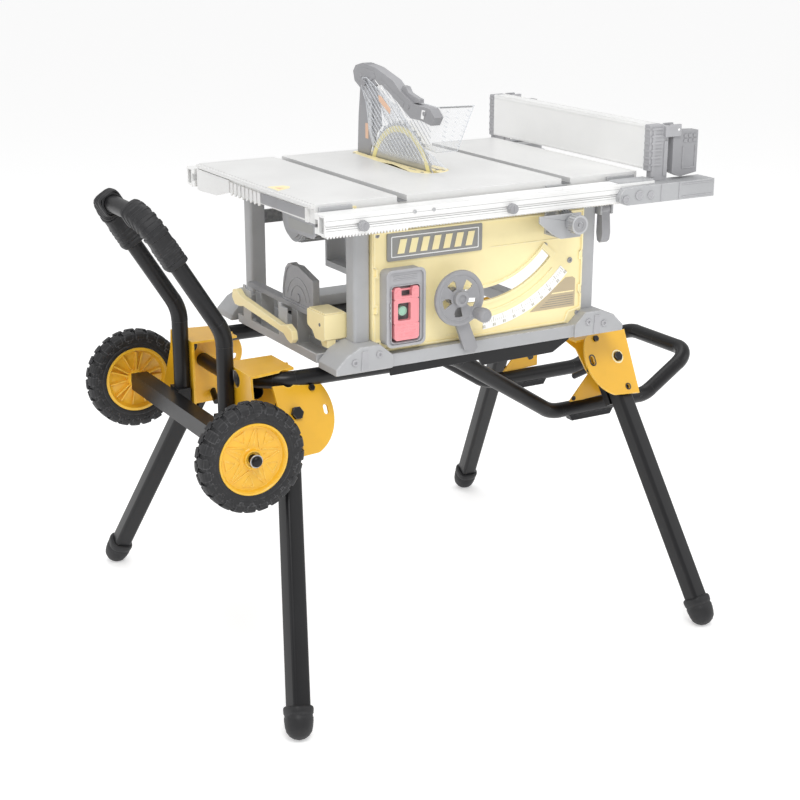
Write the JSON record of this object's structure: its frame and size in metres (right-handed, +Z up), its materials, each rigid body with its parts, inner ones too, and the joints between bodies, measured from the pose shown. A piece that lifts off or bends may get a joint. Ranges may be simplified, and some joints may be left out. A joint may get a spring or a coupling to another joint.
{
  "type": "table saw",
  "caption": "Portable table saw with a telescoping rip fence, a tilting and rising blade with guard, on a folding stand with wheels.",
  "frame": {"origin": "middle of the footprint, on the floor, with the legs unfolded", "axes": "+X to the right along the front of the saw, away from the wheels; +Y from the user towards the back; +Z up"},
  "size_m": [1.2146, 0.9, 1.031],
  "materials": {
    "tube_black": "satin black powder coat",
    "stand_yellow": "gloss yellow paint",
    "grip_rubber": "matt ribbed rubber",
    "tyre": "matt",
    "rim": "gloss yellow",
    "fastener": "black zinc",
    "saw_grey": "satin grey",
    "table": "ground cast surface",
    "pale_yellow": "semi gloss",
    "dark_plastic": "fine texture",
    "rail": "clear anodised extrusion",
    "steel": "bright",
    "motor_cast": "cast, grey",
    "knife_steel": "dark",
    "stop_red": "semi gloss",
    "go_green": "semi gloss",
    "clear": "clear polycarbonate",
    "handle_grey": "moulded"
  },
  "bodies": {
    "stand": {"rail_front_tube": "tube_black", "rail_rear_tube": "tube_black", "handle_tube": "tube_black", "handle_grips": "grip_rubber", "axle_beam": "tube_black", "bracket_front_right": "stand_yellow", "bracket_rear_right": "stand_yellow", "bracket_front_left": "stand_yellow", "bracket_rear_left": "stand_yellow", "stand_bolts": "fastener", "saw_mounts": "tube_black", "saw_base": "saw_grey", "saw_posts": "saw_grey", "table_top": "table", "throat_plate": "pale_yellow", "front_panel": "pale_yellow", "switch_box": "dark_plastic", "rail_guides": "saw_grey", "storage_bracket": "saw_grey"},
    "leg_front_right": {"leg_front_right": "tube_black", "foot_front_right": "grip_rubber"},
    "latch_front_right": {"latch_front_right": "tube_black"},
    "leg_rear_right": {"leg_rear_right": "tube_black", "foot_rear_right": "grip_rubber"},
    "latch_rear_right": {"latch_rear_right": "tube_black"},
    "leg_front_left": {"leg_front_left": "tube_black", "foot_front_left": "grip_rubber"},
    "latch_front_left": {"latch_front_left": "tube_black"},
    "leg_rear_left": {"leg_rear_left": "tube_black", "foot_rear_left": "grip_rubber"},
    "latch_rear_left": {"latch_rear_left": "tube_black"},
    "wheel_front": {"tyre_front": "tyre", "rim_front": "rim"},
    "wheel_rear": {"tyre_rear": "tyre", "rim_rear": "rim"},
    "rails": {"fence_rails": "rail", "rail_end_fittings": "saw_grey", "fence": "rail", "fence_heads": "dark_plastic"},
    "fence_latch_front": {"fence_latch_front": "handle_grey"},
    "fence_latch_rear": {"fence_latch_rear": "handle_grey"},
    "pinion": {"rack_pinion_shaft": "steel"},
    "rail_lock": {"rail_lock_lever": "handle_grey"},
    "bevel": {"bevel_carriage": "saw_grey"},
    "arbor_unit": {"motor_unit": "motor_cast", "dust_shroud": "dark_plastic", "riving_knife": "knife_steel", "guard_arm": "handle_grey"},
    "blade": {"saw_blade": "steel", "arbor": "steel"},
    "handwheel": {"handwheel": "handle_grey"},
    "crank_knob": {"crank_knob": "handle_grey"},
    "bevel_lock": {"bevel_lock_lever": "handle_grey"},
    "shield_left": {"guard_shield_left": "clear"},
    "shield_right": {"guard_shield_right": "clear"},
    "pawls": {"kickback_pawls": "steel"},
    "stop_paddle": {"stop_paddle": "stop_red"},
    "start_button": {"start_button": "go_green"},
    "mitre_gauge": {"mitre_gauge": "handle_grey"},
    "push_stick": {"push_stick": "pale_yellow"}
  },
  "joints": [
    {"name": "fold_leg_front_right", "type": "hinge", "parent": "stand", "child": "leg_front_right", "pos_m": [0.329, -0.173, 0.472], "axis": [-0.0757, 0.865, -0.4961], "range_deg": [0, 93]},
    {"name": "pull_latch_front_right", "type": "slide", "parent": "leg_front_right", "child": "latch_front_right", "axis": [-0.0757, 0.865, -0.4961], "range_m": [0, 0.008], "stiffness_N_per_m": 300},
    {"name": "fold_leg_rear_right", "type": "hinge", "parent": "stand", "child": "leg_rear_right", "pos_m": [0.329, 0.173, 0.472], "axis": [0.0757, 0.865, 0.4961], "range_deg": [0, 93]},
    {"name": "pull_latch_rear_right", "type": "slide", "parent": "leg_rear_right", "child": "latch_rear_right", "axis": [-0.0757, -0.865, -0.4961], "range_m": [0, 0.008], "stiffness_N_per_m": 300},
    {"name": "fold_leg_front_left", "type": "hinge", "parent": "stand", "child": "leg_front_left", "pos_m": [-0.371, -0.178, 0.474], "axis": [0.1665, -0.881, 0.443], "range_deg": [0, 107]},
    {"name": "pull_latch_front_left", "type": "slide", "parent": "leg_front_left", "child": "latch_front_left", "axis": [-0.1665, 0.881, -0.443], "range_m": [0, 0.008], "stiffness_N_per_m": 300},
    {"name": "fold_leg_rear_left", "type": "hinge", "parent": "stand", "child": "leg_rear_left", "pos_m": [-0.371, 0.178, 0.474], "axis": [-0.1665, -0.881, -0.443], "range_deg": [0, 107]},
    {"name": "pull_latch_rear_left", "type": "slide", "parent": "leg_rear_left", "child": "latch_rear_left", "axis": [-0.1665, -0.881, -0.443], "range_m": [0, 0.008], "stiffness_N_per_m": 300},
    {"name": "spin_wheel_front", "type": "hinge", "parent": "stand", "child": "wheel_front", "pos_m": [-0.483, -0.263, 0.447], "axis": [0, 1, 0], "continuous": true},
    {"name": "spin_wheel_rear", "type": "hinge", "parent": "stand", "child": "wheel_rear", "pos_m": [-0.483, 0.263, 0.447], "axis": [0, 1, 0], "continuous": true},
    {"name": "slide_rails", "type": "slide", "parent": "stand", "child": "rails", "axis": [1, 0, 0], "range_m": [-0.15, 0.33]},
    {"name": "open_fence_latch_front", "type": "hinge", "parent": "rails", "child": "fence_latch_front", "pos_m": [0.391, -0.26, 0.93], "axis": [0, -1, 0], "range_deg": [0, 70]},
    {"name": "open_fence_latch_rear", "type": "hinge", "parent": "rails", "child": "fence_latch_rear", "pos_m": [0.391, 0.26, 0.93], "axis": [0, -1, 0], "range_deg": [0, 70]},
    {"name": "turn_rail_knob", "type": "hinge", "parent": "stand", "child": "pinion", "pos_m": [0.1385, 0, 0.7865], "axis": [0, 1, 0], "range_deg": [-430, 944]},
    {"name": "swing_rail_lock", "type": "hinge", "parent": "stand", "child": "rail_lock", "pos_m": [0.2655, -0.222, 0.787], "axis": [-1, 0, 0], "range_deg": [0, 80]},
    {"name": "tilt_blade", "type": "hinge", "parent": "stand", "child": "bevel", "pos_m": [-0.011, 0, 0.855], "axis": [0, -1, 0], "range_deg": [0, 45]},
    {"name": "raise_blade", "type": "slide", "parent": "bevel", "child": "arbor_unit", "axis": [0, 0, 1], "range_m": [-0.079, 0]},
    {"name": "spin_blade", "type": "hinge", "parent": "arbor_unit", "child": "blade", "pos_m": [-0.011, 0.048, 0.807], "axis": [1, 0, 0], "continuous": true},
    {"name": "turn_handwheel", "type": "hinge", "parent": "bevel", "child": "handwheel", "pos_m": [-0.07514, -0.262, 0.66873], "axis": [0, 1, 0], "range_deg": [-1800, 0]},
    {"name": "spin_crank_knob", "type": "hinge", "parent": "handwheel", "child": "crank_knob", "pos_m": [-0.0399, -0.28, 0.63916], "axis": [0, 1, 0], "continuous": true},
    {"name": "swing_bevel_lock", "type": "hinge", "parent": "bevel", "child": "bevel_lock", "pos_m": [-0.07514, -0.247, 0.66873], "axis": [0, 1, 0], "range_deg": [-30, 40]},
    {"name": "lift_shield_left", "type": "hinge", "parent": "arbor_unit", "child": "shield_left", "pos_m": [-0.011, 0.166, 0.994], "axis": [-1, 0, 0], "range_deg": [0, 52]},
    {"name": "lift_shield_right", "type": "hinge", "parent": "arbor_unit", "child": "shield_right", "pos_m": [-0.011, 0.166, 0.994], "axis": [-1, 0, 0], "range_deg": [0, 24]},
    {"name": "swing_pawls", "type": "hinge", "parent": "arbor_unit", "child": "pawls", "pos_m": [-0.011, 0.16, 0.955], "axis": [1, 0, 0], "range_deg": [0, 35], "stiffness_Nm_per_rad": 0.06},
    {"name": "press_stop", "type": "hinge", "parent": "stand", "child": "stop_paddle", "pos_m": [-0.1765, -0.249, 0.694], "axis": [1, 0, 0], "range_deg": [0, 4], "stiffness_Nm_per_rad": 0.5},
    {"name": "press_start", "type": "slide", "parent": "stand", "child": "start_button", "axis": [0, 1, 0], "range_m": [0, 0.004], "stiffness_N_per_m": 400},
    {"name": "lift_mitre_gauge", "type": "slide", "parent": "stand", "child": "mitre_gauge", "axis": [0, 0, 1], "range_m": [0, 0.025]},
    {"name": "pull_push_stick", "type": "slide", "parent": "stand", "child": "push_stick", "axis": [-1, 0, 0], "range_m": [0, 0.05]}
  ],
  "couplings": [
    {"joint": "turn_rail_knob", "follows": "slide_rails", "rad_per_m": 49.867},
    {"joint": "turn_handwheel", "follows": "raise_blade", "rad_per_m": 397},
    {"joint": "lift_shield_left", "follows": "raise_blade", "rad_per_m": -11.48},
    {"joint": "lift_shield_right", "follows": "raise_blade", "rad_per_m": -5.3}
  ]
}
